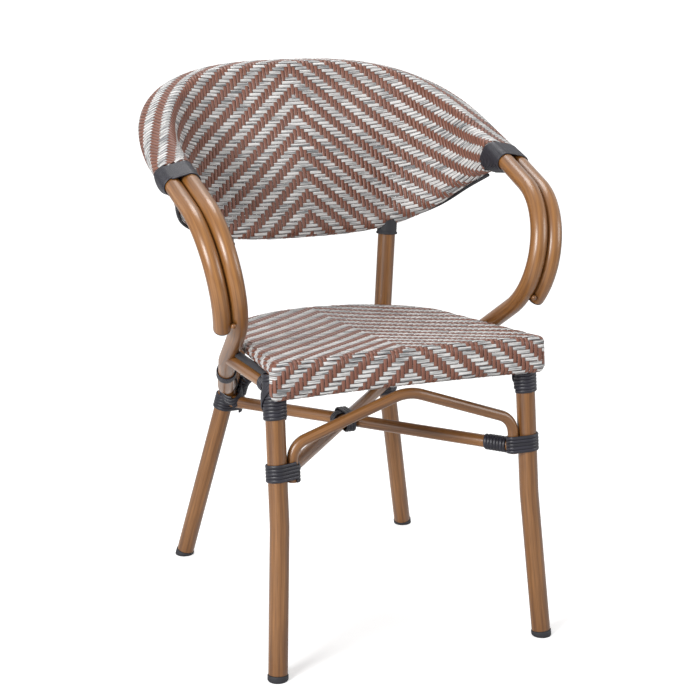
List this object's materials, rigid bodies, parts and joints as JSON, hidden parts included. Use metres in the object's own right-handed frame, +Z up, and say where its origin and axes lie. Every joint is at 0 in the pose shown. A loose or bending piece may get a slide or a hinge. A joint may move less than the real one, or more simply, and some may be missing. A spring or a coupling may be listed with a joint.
{
  "type": "rattan bistro chair",
  "caption": "Stackable armchair with a bent bamboo-look tube frame, a woven seat with apron, a woven curved back, doubled arms and cord-bound joints.",
  "frame": {"origin": "centre of the bounding box's base, on the floor", "axes": "+Z up, the sitter faces -Y, +X to the sitter's left hand"},
  "size_m": [0.5824, 0.5898, 0.8115],
  "materials": {
    "frame_tube": "bamboo-look coat on aluminium tube, satin with fine grain",
    "bare_tube": "plain tube inside the weave and the joints",
    "black_fitting": "moulded, fine satin",
    "binding_cord": "flat black cord, slight sheen",
    "weave": "white-grey and brown strands woven in a chevron"
  },
  "bodies": {
    "root": {"front_leg_left": "frame_tube", "front_leg_right": "frame_tube", "front_foot_cap_left": "black_fitting", "front_foot_cap_right": "black_fitting", "rear_leg_left": "frame_tube", "rear_leg_right": "frame_tube", "rear_foot_cap_left": "black_fitting", "rear_foot_cap_right": "black_fitting", "upright_ferrule_left": "black_fitting", "upright_ferrule_right": "black_fitting", "arm_left": "frame_tube", "arm_right": "frame_tube", "outer_arm_left": "frame_tube", "outer_arm_right": "frame_tube", "arm_end_plug_left": "black_fitting", "arm_end_plug_right": "black_fitting", "arm_spacer_left": "frame_tube", "arm_spacer_right": "frame_tube", "arm_collar_left": "black_fitting", "arm_collar_right": "black_fitting", "inner_joint_spigot_left": "bare_tube", "inner_joint_spigot_right": "bare_tube", "outer_joint_spigot_left": "bare_tube", "outer_joint_spigot_right": "bare_tube", "side_rail_left": "frame_tube", "side_rail_right": "frame_tube", "front_leg_binding_left": "binding_cord", "front_leg_binding_right": "binding_cord", "rear_leg_binding_left": "binding_cord", "rear_leg_binding_right": "binding_cord", "front_leg_top_binding_left": "binding_cord", "front_leg_top_binding_right": "binding_cord", "side_rail_binding_left": "binding_cord", "side_rail_binding_right": "binding_cord", "corner_binding_left": "binding_cord", "corner_binding_right": "binding_cord", "stretcher_sleeve_left": "binding_cord", "stretcher_sleeve_right": "binding_cord", "top_rail_inner": "frame_tube", "top_rail_outer": "frame_tube", "back_lower_rail": "frame_tube", "woven_back": "weave", "back_edging": "binding_cord", "woven_seat": "weave", "seat_front_rail": "bare_tube", "apron_rail": "bare_tube", "seat_hoop": "bare_tube", "front_arch": "frame_tube", "rear_arch": "frame_tube", "stretcher_full": "frame_tube", "stretcher_half_front": "frame_tube", "stretcher_half_rear": "frame_tube", "cross_lashing_lower": "binding_cord", "cross_lashing_upper": "binding_cord"}
  },
  "joints": []
}
